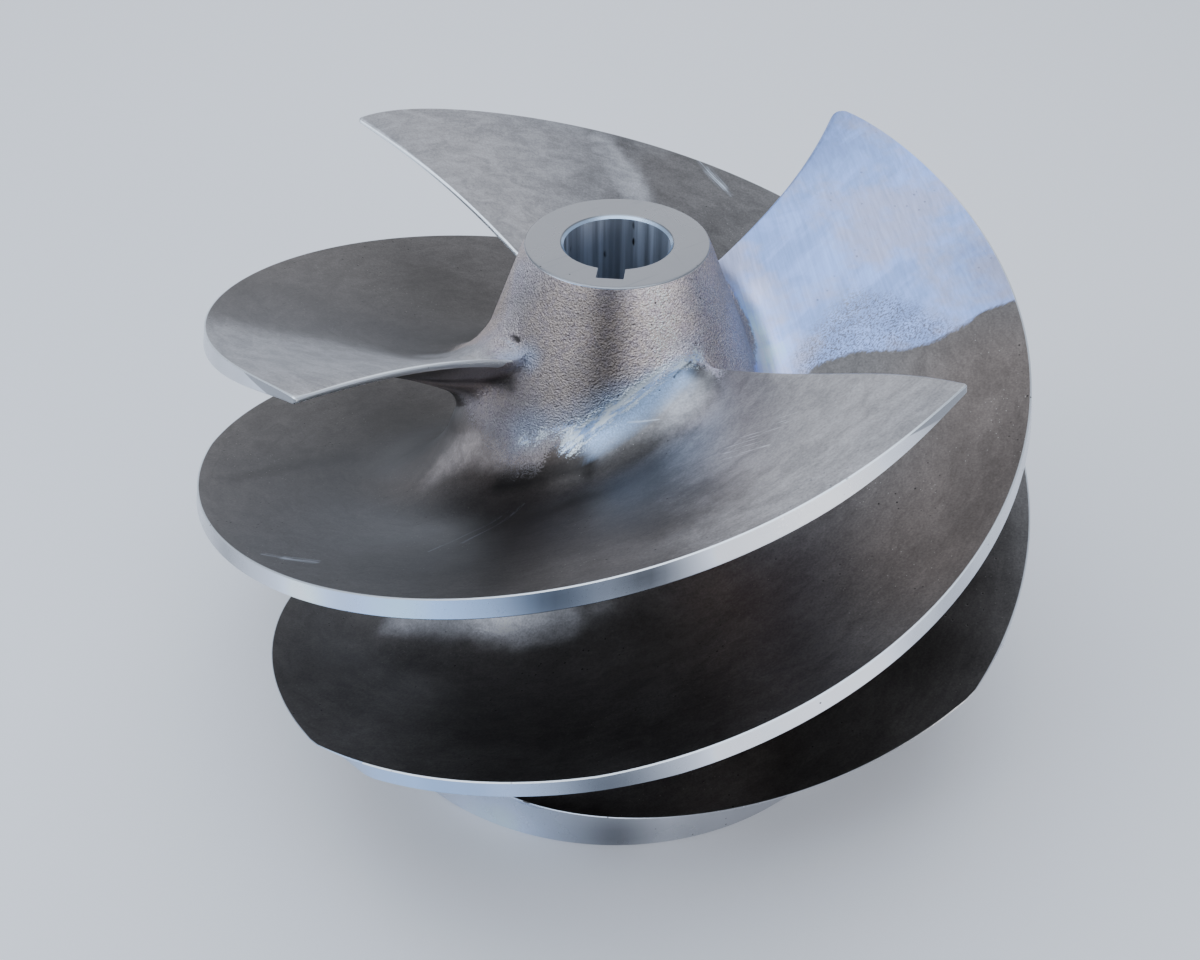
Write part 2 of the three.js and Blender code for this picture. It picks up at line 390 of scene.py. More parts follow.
def halve(high, holds):
    """The largest value from 0 up to high for which a condition still holds."""
    low = 0.0
    for _ in range(HALVINGS):
        middle = (low + high) / 2
        if holds(middle):
            low = middle
        else:
            high = middle
    return low


def hub_radius(hub, z):
    """Radius of the hub's outside at a height."""
    if z >= hub.flare_start:
        return cone_radius(hub, z)
    if z <= hub.rim_height:
        return hub.rim_radius
    return flare_point(hub, halve(1.0, lambda share: flare_point(hub, share).y > z)).x


def edge_height(blade, wrap):
    turned = min(wrap, blade.corner_wrap)
    fall = (blade.edge_drop * turned + blade.root_drop * (wrap - turned)) * MM
    droop = blade.tip_droop * (1 - math.exp(-wrap / blade.droop_degrees))
    return blade.tip_height - fall + droop


def root_height(blade, wrap):
    return blade.root_height - blade.root_drop * wrap * MM


def grown(wrap, degrees):
    """Grows from 0 at the nose to 1, quickly at first."""
    return math.sin(min(wrap / degrees, 1) * math.pi / 2)


def nose_lag(blade, radius, lead):
    """Degrees by which the leading edge trails at a radius."""
    share = (radius - blade.lag_radius) / (blade.tip_radius - blade.lag_radius)
    share = min(max(share, 0), 1)
    return blade.root_lag * math.cos(share * math.pi / 2) - lead * share**2


def outer_point(hub, blade, start, direction):
    """Where a line from inside the hub meets the turned outer shape."""

    def within(run):
        point = start + direction * run
        return point.x < envelope_radius(hub, blade, point.y)

    return start + direction * halve(REACH, within)


def tip_cut(blade, wrap, tip_round):
    """How much the rounded tip corner takes off the edge at a wrap angle."""
    along = math.radians(wrap) * blade.tip_radius
    if along >= tip_round:
        return 0.0
    return tip_round - math.sqrt(tip_round**2 - (tip_round - along) ** 2)


def section_side(hub, blade, root, slope, side, radius, cut):
    """One face of a section, from inside the hub along the fillet to the turned edge."""
    outward = Vector((math.cos(slope), math.sin(slope)))
    met = outer_point(hub, blade, root - outward * LINE_START * MM, outward)
    proud = max((met - root).dot(outward) - cut, -LEAST_WIDTH)
    edge = root + outward * proud
    width = max(proud, LEAST_WIDTH)
    base = edge - outward * width
    along = Vector((-hub.taper, 1)).normalized() * side
    opening = math.acos(max(min(outward.dot(along), 1), -1))
    tangent = min(radius / math.tan(opening / 2), width * FILLET_SHARE)
    on_hub = base + along * tangent
    on_hub.x = min(on_hub.x, hub_radius(hub, on_hub.y)) - SUNK
    on_blade = base + outward * tangent
    pull = base.lerp(on_blade, FILLET_PULL)
    points = [on_hub - Vector((ROOTED, 0))]
    for i in range(FILLET_STEPS + 1):
        share = i / FILLET_STEPS
        points.append(on_hub.lerp(pull, share).lerp(pull.lerp(on_blade, share), share))
    inner_edge = edge - outward * min(blade.broken_edge, width * LINE_SHARE)
    for i in range(1, RUN_STEPS + 1):
        points.append(on_blade.lerp(inner_edge, i / RUN_STEPS))
    return points, edge


def blade_section(hub, blade, wrap, shape):
    """The closed section at a wrap angle: top face outwards, turned edge, bottom face back."""
    z = root_height(blade, wrap)
    root = Vector((hub_radius(hub, z), z))
    edge_z = edge_height(blade, wrap)
    past_corner = wrap > blade.corner_wrap
    reach = blade.corner_radius if past_corner else envelope_radius(hub, blade, edge_z)
    run = reach - root.x
    slope = math.atan2(edge_z - z, run)
    growth = grown(wrap, blade.nose_degrees)
    root_growth = grown(wrap, blade.root_degrees)
    nose = blade.nose_thickness
    shy = max(1 - wrap / blade.nose_round, 0)
    round_share = math.sqrt(max(1 - shy * shy, BLUNTNESS))
    root_drop = (nose + (blade.root_thickness - nose) * root_growth) * round_share / math.cos(slope)
    edge_drop = (nose + (blade.edge_thickness - nose) * growth) * round_share / math.cos(slope)
    sunk = Vector((0, nose * (1 - round_share) / 2))
    lower_z = root.y - root_drop
    lower_root = Vector((hub_radius(hub, lower_z), lower_z))
    lower_slope = math.atan2(edge_z - edge_drop - lower_root.y, run)
    cut = tip_cut(blade, wrap, shape.tip_round * MM)
    first, full, power = shape.upper
    above = first + (full - first) * grown(wrap, blade.upper_growth) ** power
    above += (blade.far_fillet / MM - full) * grown(max(wrap - blade.far_wrap, 0), blade.far_wrap)
    first, full = shape.lower
    below = first + (full - first) * grown(wrap, blade.lower_growth)
    upper, upper_edge = section_side(hub, blade, root - sunk, slope, 1, above * MM, cut)
    lower, lower_edge = section_side(hub, blade, lower_root - sunk, lower_slope, -1, below * MM, cut)
    band = lower_edge - upper_edge
    broken = min(blade.broken_edge * 0.8, band.length * 0.2) / max(band.length, 1e-6)
    edges = [upper_edge.lerp(lower_edge, share) for share in (broken, *EDGE_POINTS, 1 - broken)]
    section = upper + edges + lower[::-1]
    arch = shape.arch * MM * max(1 - wrap / blade.arch_degrees, 0) ** 2
    for point in section:
        share = min(max((point.x - root.x) / run, 0), 1)
        point.y += arch * math.sin(math.pi * share**shape.bend)
    return section


def wrap_stations(blade):
    stations = list(NOSE_STEPS)
    while stations[-1] + WRAP_STEP < blade.wrap_end:
        stations.append(stations[-1] + WRAP_STEP)
    stations.append(blade.wrap_end)
    nearest = min(range(len(stations)), key=lambda i: abs(stations[i] - blade.corner_wrap))
    stations[nearest] = blade.corner_wrap
    return stations


def make_blade(name, azimuth, shape):
    """Lays one blade section by section, because every section differs from its neighbour."""
    hub, blade = sizes()
    sections = []
    for wrap in wrap_stations(blade):
        row = []
        for point in blade_section(hub, blade, wrap, shape):
            lag = nose_lag(blade, point.x, shape.lead) * (1 - wrap / blade.wrap_end)
            angle = azimuth - math.radians(wrap + lag)
            row.append((point.x * math.cos(angle), point.x * math.sin(angle), point.y))
        sections.append(row)
    count = len(sections[0])
    faces = []
    for i in range(len(sections) - 1):
        for j in range(count):
            k = (j + 1) % count
            first, second = i * count, (i + 1) * count
            faces.append((first + j, second + j, second + k, first + k))
    for first, flip in ((0, False), ((len(sections) - 1) * count, True)):
        for j in range(count // 2 - 1):
            cap = (first + j, first + j + 1, first + count - 2 - j, first + count - 1 - j)
            faces.append(cap[::-1] if flip else cap)
    mesh = bpy.data.meshes.new(name)
    mesh.from_pydata([point for row in sections for point in row], [], faces)
    mesh.validate()
    piece = bpy.data.objects.new(name, mesh)
    bpy.context.scene.collection.objects.link(piece)
    edit_all(piece, (bpy.ops.mesh.normals_make_consistent, {"inside": False}))
    return piece


# Small differences between the four blades: degrees of turn and of the tip's lead,
# millimetres of rounding at the tip, the arch of the inlet end and the power that says where
# it is highest, then the fillets above and below, at the leading edge and farther back, with
# the power by which the upper one is slow to grow
BladeShape = namedtuple("BladeShape", "turn lead tip_round arch bend upper lower")
BLADE_SHAPES = (
    BladeShape(0.17, 0, 1.6, 2.2, 2.2, (4, 16, 1), (2.5, 9)),
    BladeShape(0.12, 0, 0.9, 2.2, 0.6, (4.5, 20, 1.8), (1.5, 5)),
    BladeShape(0.45, 0, 1.3, 1.0, 1.0, (6, 16, 1), (2.5, 9)),
    BladeShape(-0.83, 3.1, 4.5, 0, 1.0, (8, 10, 1), (2.5, 9)),
)


def blade_azimuth(blade, i):
    azimuth = blade.tip_azimuth - math.tau * i / blade.count
    return azimuth + math.radians(BLADE_SHAPES[i % len(BLADE_SHAPES)].turn)


def join_blades(piece):
    _, blade = sizes()
    for i in range(blade.count):
        shape = BLADE_SHAPES[i % len(BLADE_SHAPES)]
        tool = make_blade(f"blade_{i + 1}", blade_azimuth(blade, i), shape)
        apply_boolean(piece, tool, "UNION")
    edit_all(
        piece,
        (bpy.ops.mesh.remove_doubles, {"threshold": 0.01 * MM}),
        (bpy.ops.mesh.dissolve_degenerate, {"threshold": 0.005 * MM}),
    )
    bpy.ops.object.shade_smooth_by_angle(angle=SHARPEST)


# Materials


# Tints over the finish's colours: the painted bluish reflection and the painted glints beside and in
# the streaks, clouds in the bright patch and its lightest, thin scratches, and the painted highlight
# along the lip of the blades
BLUE_REFLECTION = (0.46, 0.66, 0.98)
GLINT = (0.36, 0.54, 0.88), (0.84, 0.93, 1.0)
PALE = (0.39, 0.405, 0.55)
BRIGHT_LIMIT = (0.72, 0.83, 1)
SCRATCHED = (0.72, 0.80, 0.92)
LIP_HIGHLIGHT = (0.88, 0.93, 0.98)
# Directions of the grinding: across the bright patch, along its fillet, along the streaks, and
# the groups of short scratches
PATCH_STROKES = (0.70, 0.58, 0.41)
FILLET_STROKES = (0.21, -0.85, -0.48)
STREAK_STROKES = (-0.82, -0.34, -0.46)
SCRATCH_WAY = (0.83, -0.26, 0.48)
# Millimetres over which a streak fades in
STREAK_EDGE = (-1, 1.4)
# A painted line is this much less bound in height than sideways, so it follows a sloping face
LINE_FLATTENING = (1, 1, 0.25)


class Nodes:
    """Adds nodes to a material's tree, with values or links given by socket."""

    def __init__(self, name):
        self.material = bpy.data.materials.new(name)
        self.material.use_nodes = True
        self.tree = self.material.node_tree
        self.tree.nodes.clear()
        self.shader = self.add("ShaderNodeBsdfPrincipled")
        self.add("ShaderNodeOutputMaterial", {"Surface": self.shader.outputs[0]})
        self.place = self.add("ShaderNodeTexCoord").outputs["Object"]

    def put(self, socket, value):
        """Links a socket, or sets it, with a number spread over a colour and alpha added to one."""
        if isinstance(value, bpy.types.NodeSocket):
            self.tree.links.new(value, socket)
        elif value is not None:
            size = len(socket.default_value) if hasattr(socket.default_value, "__len__") else 0
            if size and not hasattr(value, "__len__"):
                value = (value,) * size
            elif size == 4 and len(value) == 3:
                value = (*value, 1)
            socket.default_value = value

    def add(self, kind, inputs=None, **settings):
        node = self.tree.nodes.new(kind)
        for key, value in settings.items():
            setattr(node, key, value)
        for key, value in (inputs or {}).items():
            self.put(node.inputs[key], value)
        return node

    def math(self, operation, a, b=None, c=None, clamp=False):
        node = self.add("ShaderNodeMath", operation=operation, use_clamp=clamp)
        for socket, value in zip(node.inputs, (a, b, c)):
            self.put(socket, value)
        return node.outputs[0]

    def times(self, a, b):
        return self.math("MULTIPLY", a, b)

    def plus(self, a, b):
        return self.math("ADD", a, b)

    def most(self, a, b):
        return self.math("MAXIMUM", a, b)

    def vector(self, operation, a, b=None):
        node = self.add("ShaderNodeVectorMath", {0: a, 1: b}, operation=operation)
        single = ("LENGTH", "DISTANCE", "DOT_PRODUCT")
        return node.outputs["Value" if operation in single else "Vector"]

    def scaled(self, value, scale):
        inputs = {0: value, "Scale": scale}
        return self.add("ShaderNodeVectorMath", inputs, operation="SCALE").outputs["Vector"]

    def noise(self, scale, detail=3, roughness=0.5, place=None, distortion=0):
        inputs = {"Vector": place or self.place, "Scale": scale, "Detail": detail}
        inputs |= {"Roughness": roughness, "Distortion": distortion}
        return self.add("ShaderNodeTexNoise", inputs).outputs["Fac"]

    def cells(self, scale, place=None):
        inputs = {"Vector": place or self.place, "Scale": scale}
        return self.add("ShaderNodeTexVoronoi", inputs).outputs["Distance"]

    def ramp(self, value, low, high, start=0, end=1, smooth=True):
        """Maps low..high to start..end and holds it there."""
        inputs = {"Value": value, "From Min": low, "From Max": high, "To Min": start, "To Max": end}
        way = "SMOOTHSTEP" if smooth else "LINEAR"
        return self.add("ShaderNodeMapRange", inputs, interpolation_type=way, clamp=True).outputs[0]

    def vary(self, noise, start, end, smooth=True):
        """Maps a noise, over its usual range, to start..end."""
        return self.ramp(noise, 0.3, 0.7, start, end, smooth)

    def mix(self, share, a, b):
        """Mixes two colours; the node's inputs 6 and 7 and its output 2 are the ones for colour."""
        inputs = {"Factor": share, 6: a, 7: b}
        return self.add("ShaderNodeMix", inputs, data_type="RGBA").outputs[2]

    def blend(self, value, low, high, a, b):
        """Goes from colour a to colour b as the value goes from low to high."""
        return self.mix(self.ramp(value, low, high), a, b)

    def attribute(self, name):
        return self.add("ShaderNodeAttribute", attribute_name=name).outputs["Fac"]

    def stretched(self, scale):
        return self.add("ShaderNodeMapping", {"Vector": self.place, "Scale": scale}).outputs[0]

    def border(self, name, ragged, soft, place=None, scale=1):
        """1 where the painted distance, in millimetres, is positive, with a ragged border."""
        wobble = self.math("MULTIPLY_ADD", self.noise(scale, 5, 0.7, place), 2 * ragged, -ragged)
        return self.ramp(self.plus(self.attribute(name), wobble), -soft, soft)

    def strokes(self, direction, across, along):
        """A place for noise that is drawn out along one direction."""
        ahead = Vector(direction).normalized()
        reach = self.vector("DOT_PRODUCT", self.place, tuple(ahead))
        drawn = self.scaled(tuple(ahead), self.times(reach, along - across))
        return self.vector("ADD", self.scaled(self.place, across), drawn)

    def scratches(self, direction, across, along, low, high):
        """Thin parallel scratches along one direction."""
        return self.ramp(self.noise(1, 1, 0.4, self.strokes(direction, across, along)), low, high)

    def line(self, start, end, width, soft, ragged, scale=1200):
        """1 within a half width of a line given in millimetres, 0 away from it."""
        flat = Vector(LINE_FLATTENING)
        start, end = Vector(start) * MM * flat, Vector(end) * MM * flat
        along = end - start
        place = self.vector("MULTIPLY", self.place, tuple(flat))
        shifted = self.vector("SUBTRACT", place, tuple(start))
        reach = self.vector("DOT_PRODUCT", shifted, tuple(along))
        share = self.math("MULTIPLY", reach, 1 / along.length_squared, clamp=True)
        away = self.vector("DISTANCE", shifted, self.scaled(tuple(along), share))
        wobble = self.math("MULTIPLY_ADD", self.noise(scale, 4, 0.7), 2 * ragged * MM, -ragged * MM)
        return self.ramp(self.plus(away, wobble), (width + soft) * MM, (width - soft) * MM)

    def rings(self, fine, along):
        """A place drawn out round the axis, for marks left by turning."""
        parts = self.add("ShaderNodeSeparateXYZ", {"Vector": self.place})
        x, y, z = parts.outputs
        radius = self.math("SQRT", self.plus(self.times(x, x), self.times(y, y)))
        around = self.times(self.math("ARCTAN2", y, x), along)
        inputs = {"X": self.times(radius, fine), "Y": self.times(z, fine), "Z": around}
        return self.add("ShaderNodeCombineXYZ", inputs).outputs[0]

    def bump(self, height, strength, distance):
        """Relief, with its distance in millimetres."""
        inputs = {"Height": height, "Strength": strength, "Distance": distance * MM}
        return self.add("ShaderNodeBump", inputs).outputs[0]

    def finish(self, base, roughness, normal, metallic=1.0):
        inputs = {"Base Color": base, "Roughness": roughness, "Metallic": metallic, "Normal": normal}
        for key, value in inputs.items():
            self.put(self.shader.inputs[key], value)
        return self.material


def shade(value, factor):
    return tuple(v * factor for v in value)


def hue(value, factors):
    return tuple(v * factor for v, factor in zip(value, factors))


def turned_steel(colours):
    """Lathe-turned edges and faces: fine rings, soft blotches, small nicks and scratches."""
    n = Nodes("turned_steel")
    rings = n.noise(1, 3, 0.7, n.rings(6200, 0.6))
    blotch = n.noise(42, 4)
    specks = n.times(n.ramp(n.cells(420), 0.13, 0.06), n.ramp(n.noise(75), 0.58, 0.64))
    scratch = n.scratches((0.8, 0.6, 0), 1700, 50, 0.68, 0.74)
    across = n.scratches((-0.3, 0.95, 0), 1500, 40, 0.70, 0.76)
    base = n.blend(blotch, 0.35, 0.65, shade(colours.turned, 0.9), colours.turned)
    # painted bluish reflection on one side of the turned edges
    base = n.mix(n.attribute("cool"), base, hue(colours.turned, (0.68, 0.96, 1.35)))
    sweep = n.noise(1, 2, 0.5, n.stretched((26, 26, 5)))
    # band holds painted reflections, lighter and darker along the turned edges and the rim
    sweep = n.times(n.ramp(sweep, 0.36, 0.62, 0.8, 1.08), n.attribute("band"))
    base = n.vector("MINIMUM", n.scaled(base, sweep), (0.98, 0.98, 1))
    # a painted bluish reflection on the chamfer of the bore, then the duller top face
    top = sizes()[0].height
    z = n.add("ShaderNodeSeparateXYZ", {"Vector": n.place}).outputs["Z"]
    from_axis = n.vector("LENGTH", n.vector("MULTIPLY", n.place, (1, 1, 0)))
    chamfer = n.times(n.ramp(z, top - MM, top - 0.8 * MM), n.ramp(from_axis, 16 * MM, 15 * MM))
    base = n.mix(chamfer, base, hue(colours.turned, (0.8, 1.02, 1.25)))
    face = n.mix(blotch, shade(colours.turned, 0.41), shade(colours.turned, 0.47))
    base = n.mix(n.ramp(z, top - 0.4 * MM, top - 0.1 * MM), base, face)
    base = n.mix(specks, base, colours.grime)
    marks = n.most(scratch, across)
    rough = n.plus(n.vary(blotch, 0.22, 0.34), n.times(marks, 0.15))
    height = n.plus(rings, n.times(marks, -0.8))
    return n.finish(base, rough, n.bump(height, 0.4, 0.02))


def bore_steel(colours):
    """Reamed bore and broached keyway: bluish, with upright streaks and dark specks."""
    n = Nodes("bore_steel")
    streaks = n.noise(1, 4, 0.6, n.stretched((420, 420, 9)))
    bands = n.noise(1, 2, 0.5, n.stretched((130, 130, 4)))
    specks = n.ramp(n.cells(520, n.stretched((1, 1, 0.4))), 0.30, 0.12)
    specks = n.times(specks, n.ramp(n.noise(1, 3, 0.6, n.stretched((210, 210, 60))), 0.5, 0.6))
    base = n.blend(streaks, 0.35, 0.65, shade(colours.bore, 0.55), colours.bore)
    base = n.mix(n.ramp(bands, 0.62, 0.42, 0, 0.6), base, shade(colours.bore, 0.3))
    base = n.mix(specks, base, colours.grime)
    rough = n.vary(streaks, 0.36, 0.52)
    return n.finish(base, rough, n.bump(streaks, 0.3, 0.03), 0.75)


def casting_skin(n, colours, grain, mottle):
    """Pebbled sand-cast skin in warm, cool and violet greys, with sparkling faces, and painted
    reflections that make it brighter or darker round the hub.
    """
    warm, cool = hue(colours.cast, (1.03, 0.98, 0.96)), hue(colours.cast, (0.78, 0.88, 1.1))
    skin = n.blend(n.noise(24, 3), 0.42, 0.6, warm, cool)
    violet = hue(colours.cast, (0.74, 0.72, 0.9))
    skin = n.mix(n.ramp(n.noise(560, 3, 0.6), 0.42, 0.62, 0, 0.5), skin, violet)
    skin = n.mix(n.ramp(mottle, 0.35, 0.65, 0.6, 0), skin, shade(colours.cast, 0.7))
    sparkle = n.vary(grain, 0.62, 1.38, False)
    # the sheen is a painted reflection, brighter and darker round the hub
    return n.scaled(skin, n.times(sparkle, n.attribute("sheen")))


def blade_satin(n, colours, cloud, swirl, brushed):
    """Satin left by the grinding wheel and how far it is dressed; some of the dressed lines and the
    tones over it are painted light and shade.
    """
    fresh = n.ramp(n.plus(n.attribute("fresh"), n.vary(cloud, -0.25, 0.25)), 0.1, 0.9)
    satin = n.blend(cloud, 0.36, 0.62, shade(colours.satin, 0.8), shade(colours.satin, 1.12))
    dressed = n.blend(swirl, 0.3, 0.7, shade(colours.dressed, 0.88), colours.dressed)
    satin = n.mix(fresh, satin, dressed)
    for change in (
        n.vary(n.noise(1900, 2), 0.86, 1.14, False),
        # painted light and shade over the blade faces
        n.times(n.attribute("tone"), n.vary(swirl, 0.88, 1.12)),
        n.vary(brushed, 0.92, 1.08, False),
    ):
        satin = n.scaled(satin, change)
    warmer = n.vector("MULTIPLY", satin, (1.08, 0.95, 0.86))
    return n.mix(n.attribute("warm"), satin, warmer), fresh


def bright_patch(n, colours, clouds, along_hub):
    """Where the casting is freshly ground, with a scrubbed spot in it, and its colour, whose blue
    brightness is partly a painted reflection.
    """
    stroke = n.strokes(PATCH_STROKES, 900, 240)
    speckle = n.ramp(n.noise(1, 2, 0.6, n.strokes(PATCH_STROKES, 3200, 1500)), 0.46, 0.6, 0.1, 0.85)
    scrubbed = n.times(n.border("mottled", 3.5, 3, stroke), speckle)
    bright = n.times(n.border("bright", 1.6, 0.6, stroke), n.math("SUBTRACT", 1, scrubbed))
    shine = n.blend(clouds, 0.38, 0.62, shade(colours.bright, 0.78), shade(colours.bright, 1.08))
    shine = n.mix(n.ramp(n.noise(30, 5, 0.65), 0.44, 0.6, 0, 0.85), shine, PALE)
    shine = n.scaled(shine, n.ramp(along_hub, 0.34, 0.66, 0.9, 1.08, False))
    # painted highlight and shade on the patch and its fillet
    shine = n.scaled(shine, n.attribute("patch_tone"))
    return bright, n.vector("MINIMUM", shine, BRIGHT_LIMIT)


def add_lines(n, base, colours):
    """Thin pale scratches, drawn out along their own direction, and dark cracks."""
    for start, end, width, soft, strength in PALE_LINES:
        along = (Vector(end) - Vector(start)).normalized()
        hairs = n.ramp(n.noise(1, 0, 0.6, n.strokes(along, 3200, 140)), 0.38, 0.62, 0.1, 1)
        pale = n.times(n.line(start, end, width, soft, 0.3), hairs)
        base = n.mix(n.times(pale, strength), base, SCRATCHED)
    for start, end, width, soft, strength in CRACKS:
        crack = n.times(n.line(start, end, width, soft, 0.25), strength)
        base = n.mix(crack, base, shade(colours.satin, 0.25))
    return base


def cast_steel(colours):
    """Casting skin: pebbled on the hub, ground satin on the blades, bright where dressed."""
    n = Nodes("cast_steel")
    grain, pebble, mottle = n.noise(2400, 2, 0.6), n.cells(1900), n.noise(60, 5, 0.6)
    cloud = n.plus(n.times(n.noise(13, 3), 0.5), n.times(mottle, 0.5))
    swirl = n.noise(1, 4, 0.65, n.rings(260, 7), 0.8)
    brushed = n.noise(1, 3, 0.7, n.rings(1500, 24), 0.5)
    clouds = n.noise(1, 5, 0.6, n.strokes(PATCH_STROKES, 110, 45), 0.6)
    along_hub = n.noise(1, 3, 0.6, n.strokes(FILLET_STROKES, 1300, 50))
    satin, fresh = blade_satin(n, colours, cloud, swirl, brushed)
    ground = n.ramp(n.plus(n.attribute("ground"), n.vary(grain, -0.3, 0.3)), 0.3, 0.7)
    base = n.mix(ground, casting_skin(n, colours, grain, mottle), satin)
    # painted shade under the blades and darker patches of satin, then a painted bluish reflection
    # beside the dressed streaks
    dark = n.ramp(n.plus(n.attribute("dark"), n.vary(mottle, -0.15, 0.15)), 0.05, 0.95)
    base = n.mix(n.times(dark, 0.95), base, shade(colours.satin, 0.3))
    haze = n.times(n.attribute("haze"), n.ramp(grain, 0.34, 0.66, 0.6, 1, False))
    base = n.mix(haze, base, BLUE_REFLECTION)
    bright, shine = bright_patch(n, colours, clouds, along_hub)
    base = n.mix(bright, base, shine)
    # streaks left by the grinding wheel along the fillets, painted bluish white as glints: partly
    # ground metal, partly painted highlight
    drawn = n.noise(1, 4, 0.65, n.strokes(STREAK_STROKES, 900, 60))
    broken = n.plus(n.math("MULTIPLY_ADD", drawn, 6, -3), n.math("MULTIPLY_ADD", grain, 6, -3))
    streak = n.ramp(n.plus(n.attribute("streak"), broken), *STREAK_EDGE)
    base = n.mix(streak, base, n.blend(drawn, 0.4, 0.6, *GLINT))
    bright = n.most(bright, streak)
    base = add_lines(n, base, colours)
    # the lip is a painted highlight along the leading edges and the turned edges
    lip = n.ramp(n.attribute("lip"), -0.1, 0.15)
    base = n.mix(lip, base, LIP_HIGHLIGHT)
    # groups of short bright scratches, dark pits and pale dust
    cuts = n.scratches(SCRATCH_WAY, 2600, 55, 0.58, 0.66)
    cuts = n.times(cuts, n.border("scratched", 1.2, 1.0, None, 160))
    base = n.mix(cuts, base, colours.turned)
    often = n.math("MULTIPLY_ADD", n.attribute("pitted"), 0.12, mottle)
    holes = n.times(n.ramp(n.cells(450), 0.15, 0.06), n.ramp(often, 0.52, 0.62))
    pits = n.times(holes, n.ramp(n.most(bright, fresh), 0, 1, 1, 0.25))
    base = n.mix(pits, base, colours.grime)
    dust = n.times(n.ramp(n.cells(760), 0.13, 0.05), n.ramp(n.noise(36, 4, 0.7), 0.5, 0.6))
    base = n.mix(n.times(dust, 0.45), base, colours.dust)
    base = n.vector("MINIMUM", base, (1, 1, 1))
    rough = n.mix(ground, n.vary(grain, 0.36, 0.56), n.vary(cloud, 0.36, 0.44))
    rough = n.mix(bright, rough, n.vary(clouds, 0.32, 0.42))
    rough = n.mix(lip, rough, 0.4)
    # the relief leaves out the ragged borders, because bump works its height out three times
    plain = n.ramp(n.attribute("bright"), -0.6, 0.6)
    plain = n.most(plain, n.ramp(n.attribute("streak"), *STREAK_EDGE))
    cast_height = n.plus(n.times(pebble, -0.9), n.times(grain, 2.2))
    satin_height = n.plus(n.times(swirl, 0.08), n.times(brushed, 0.08))
    satin_height = n.plus(satin_height, n.times(along_hub, n.times(plain, 0.1)))
    height = n.mix(n.most(ground, plain), cast_height, satin_height)
    height = n.math("SUBTRACT", height, n.times(holes, 0.25))
    return n.finish(base, rough, n.bump(height, 0.8, 0.28))


# Slots of the finished casting
TURNED, BORE, CAST = range(3)
# How near the turned outer shape a face has to be to count as turned, within the zone below the
# tips, where a rounded corner comes near it too, and farther down; and how far it faces outwards
TIP_ZONE = 20 * MM
NEAR_ENVELOPE = (0.4 * MM, 1.8 * MM)
FACING_OUT = 0.55
# Width of the turned edge round the recess, and slack round the bore and its keyway
MOUTH_WIDTH = 1.3 * MM
BORE_SLACK = 0.1 * MM


def smooth(value, low, high):
    share = np.clip((value - low) / (high - low), 0, 1)
    return share * share * (3 - 2 * share)


def bell(value, middle, spread):
    return np.exp(-(((value - middle) / spread) ** 2))


def sort_faces(piece):
    """Gives each face its finish by where it lies."""
    hub, blade = sizes()
    faces = piece.data.polygons
    centers, normals = rows(faces, "center"), rows(faces, "normal")
    z = centers[:, 2]
    radius = np.hypot(centers[:, 0], centers[:, 1])
    facing_out = (centers[:, 0] * normals[:, 0] + centers[:, 1] * normals[:, 1]) / radius
    off_envelope = np.abs(radius - [envelope_radius(hub, blade, value) for value in z])
    near = np.where(z > blade.tip_height - TIP_ZONE, *NEAR_ENVELOPE)
    boss_end, bored = hub.boss_setback, hub.bore_radius + hub.key_depth + BORE_SLACK
    slots = np.full(len(faces), CAST)
    for turned in (
        (z > hub.rim_height) & (off_envelope < near) & (facing_out > FACING_OUT),
        (z < hub.rim_height) & (radius > hub.recess_mouth - MOUTH_WIDTH),
        (z > hub.height - 2 * hub.edge) & (radius < hub.top_radius + hub.edge),
        (z < boss_end + hub.edge) & (radius < hub.boss_radius),
    ):
        slots[turned] = TURNED
    in_hub = (z < hub.height - hub.bore_edge) & (z > boss_end + hub.bore_edge)
    slots[in_hub & (radius < bored)] = BORE
    faces.foreach_set("material_index", slots.astype(np.int32))


# Where the casting was dressed, scrubbed or scratched, where it is darker, and where light and shade
# are painted on it: lines over the surface in millimetres with a half width, and a strength where
# there is a third value; then outlines seen from above.
# Ground streaks along the fillets, painted bright as glints
STREAK_LINES = (
    (((18.7, -22.6, 114.6), (12.8, -27, 114), (6.3, -29.9, 111), (0, -32.3, 106.6)), 1.5),
    (((0, -32.3, 106.6), (-6.4, -33.8, 102), (-11.8, -34.5, 97.6)), 2.0),
    (((-9.2, -32.4, 102.4), (-21.9, -29.4, 94.8)), 0.9),
)
# Painted bluish reflection beside the streaks
BLUE_REFLECTION_LINES = (
    (((14, -27.5, 113), (7, -31.5, 109), (1, -34, 104.5), (-5, -35.6, 99.8)), 2.7, 1),
    (((8, -29, 111.5), (-7, -33, 101)), 2.6, 0.8),
    (((4, -30, 109.5), (-8, -31, 103), (-22, -28, 97)), 3.6, 0.35),
    (((-25, -20.5, 112), (-20.5, -21.3, 113)), 2.6, 0.45),
)
GROUND_LINES = (
    (((18, -29, 111.5), (8, -34, 107), (-3, -37.5, 99.5), (-13, -38.5, 94)), 5.4),
    (((18, -39, 109), (5, -43, 102), (-8, -44, 95), (-22, -41, 88)), 5.5),
    (((-36, -12, 107), (-44, 1, 101)), 4.0),
)
# Dressed satin; the lower lines, low on the hub and in the passages, are painted light
DRESSED_AND_LIT_LINES = (
    (((-4.2, 94.2, 114.6), (5.3, 78.4, 106.2), (6, 70, 102)), 5, 1),
    (((-5, -38, 98.5), (7.5, -37, 105), (12, -37, 108)), 3.4, 0.55),
    (((-24, -18, 113), (-33, -9, 108), (-44, 1, 101)), 6, 1),
    (((-22, -30, 93), (-34, -21, 86.5), (-42, -16, 76)), 6.5, 0.8),
    (((-56, -33, 40), (-33.3, -46.1, 52.4), (-23, -51.6, 56.1), (-12, -54.5, 59.5)), 5, 1),
    (((-44, -40, 42), (-23, -50, 51.5), (-2, -52, 60)), 5, 0.8),
)
